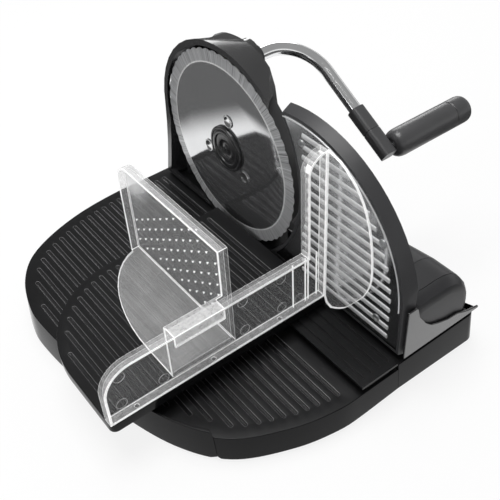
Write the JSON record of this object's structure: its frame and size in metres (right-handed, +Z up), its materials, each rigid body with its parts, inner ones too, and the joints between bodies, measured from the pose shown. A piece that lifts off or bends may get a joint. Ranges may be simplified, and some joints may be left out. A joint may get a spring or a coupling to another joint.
{
  "type": "manual food slicer",
  "caption": "Hand-cranked food slicer with a round wave-edged blade, a sliding food carriage with clear wall and pusher, and a stop plate that sets the slice thickness.",
  "frame": {"origin": "on the surface the slicer stands on, under the middle of the whole object's box", "axes": "+X from the carriage side towards the crank handle, along the blade's axle; -Y towards the user; +Z up"},
  "size_m": [0.411, 0.3614, 0.2318],
  "materials": {
    "black_plastic": "moulded black, between satin and gloss",
    "gloss_black_plastic": "glossy black moulding",
    "satin_black_plastic": "finely textured satin black",
    "hub_plastic": "glossy black moulding with turned rings",
    "clear_plastic": "clear moulded plastic with polished edges",
    "blade_steel": "mirror polished disc with a radially ground edge band",
    "plate_steel": "bright pressed sheet with raised ribs",
    "chrome": "bright chrome plating",
    "zinc_steel": "zinc plated steel",
    "natural_nylon": "natural nylon",
    "black_rubber": "soft matt rubber"
  },
  "bodies": {
    "base": {"base_body": "black_plastic", "front_tray": "black_plastic", "guide_strip": "black_plastic", "base_bottom_cover": "black_plastic", "foot_1": "black_rubber", "foot_2": "black_rubber", "foot_3": "black_rubber", "foot_4": "black_rubber", "base_screw_1": "zinc_steel", "base_screw_2": "zinc_steel", "base_screw_3": "zinc_steel", "base_screw_4": "zinc_steel", "spindle_nut": "natural_nylon", "hood_shell": "gloss_black_plastic", "hood_screw_1": "zinc_steel", "hood_screw_2": "zinc_steel", "hood_screw_3": "zinc_steel", "gear_case": "black_plastic", "blade_axle": "zinc_steel", "crank_bush": "natural_nylon"},
    "blade": {"blade": "blade_steel", "blade_hub": "hub_plastic", "blade_screw_1": "chrome", "blade_screw_2": "chrome", "blade_screw_3": "chrome", "blade_gear": "natural_nylon"},
    "crank": {"crank_shaft": "zinc_steel", "drive_pinion": "natural_nylon", "shaft_clip": "zinc_steel", "crank_collar": "satin_black_plastic", "crank_rod": "chrome", "crank_socket": "satin_black_plastic", "handle_spindle": "zinc_steel", "handle_nut": "zinc_steel"},
    "grip": {"handle_grip": "satin_black_plastic", "grip_end_cap": "satin_black_plastic"},
    "carriage": {"carriage_table": "black_plastic", "carriage_runner": "natural_nylon", "runner_screw_1": "zinc_steel", "runner_screw_2": "zinc_steel", "carriage_glide": "natural_nylon", "carriage_wall": "clear_plastic", "thumb_shield": "clear_plastic"},
    "pusher": {"food_pusher": "clear_plastic"},
    "stop_plate": {"stop_plate_frame": "satin_black_plastic", "stop_plate_sheet": "plate_steel", "stop_plate_screw_1": "zinc_steel", "stop_plate_screw_2": "zinc_steel", "stop_plate_screw_3": "zinc_steel", "stop_plate_carrier": "gloss_black_plastic", "carrier_key_1": "natural_nylon", "carrier_key_2": "natural_nylon", "housing_near_cap": "satin_black_plastic", "adjuster_housing": "satin_black_plastic", "housing_rear_cover": "satin_black_plastic"},
    "knob": {"thickness_knob": "satin_black_plastic", "knob_spindle": "zinc_steel", "spindle_collar": "zinc_steel"}
  },
  "joints": [
    {"name": "crank_turn", "type": "hinge", "parent": "base", "child": "crank", "pos_m": [0.0155, 0.05133, 0.209], "axis": [1, 0, 0], "continuous": true},
    {"name": "blade_spin", "type": "hinge", "parent": "base", "child": "blade", "pos_m": [0.0155, 0.05133, 0.129], "axis": [1, 0, 0], "continuous": true},
    {"name": "grip_spin", "type": "hinge", "parent": "crank", "child": "grip", "pos_m": [0.1595, -0.05952, 0.145], "axis": [1, 0, 0], "continuous": true},
    {"name": "carriage_slide", "type": "slide", "parent": "base", "child": "carriage", "axis": [0, 1, 0], "range_m": [-0.085, 0.1]},
    {"name": "pusher_slide", "type": "slide", "parent": "carriage", "child": "pusher", "axis": [1, 0, 0], "range_m": [-0.04, 0.082]},
    {"name": "stop_plate_slide", "type": "slide", "parent": "base", "child": "stop_plate", "axis": [1, 0, 0], "range_m": [-0.002, 0.013]},
    {"name": "thickness_knob_turn", "type": "hinge", "parent": "stop_plate", "child": "knob", "pos_m": [0.1055, -0.05667, 0.063], "axis": [1, 0, 0], "range_deg": [-42, 262]}
  ],
  "couplings": [
    {"joint": "blade_spin", "follows": "crank_turn", "ratio": -0.21212},
    {"joint": "thickness_knob_turn", "follows": "stop_plate_slide", "rad_per_m": 349.07}
  ]
}
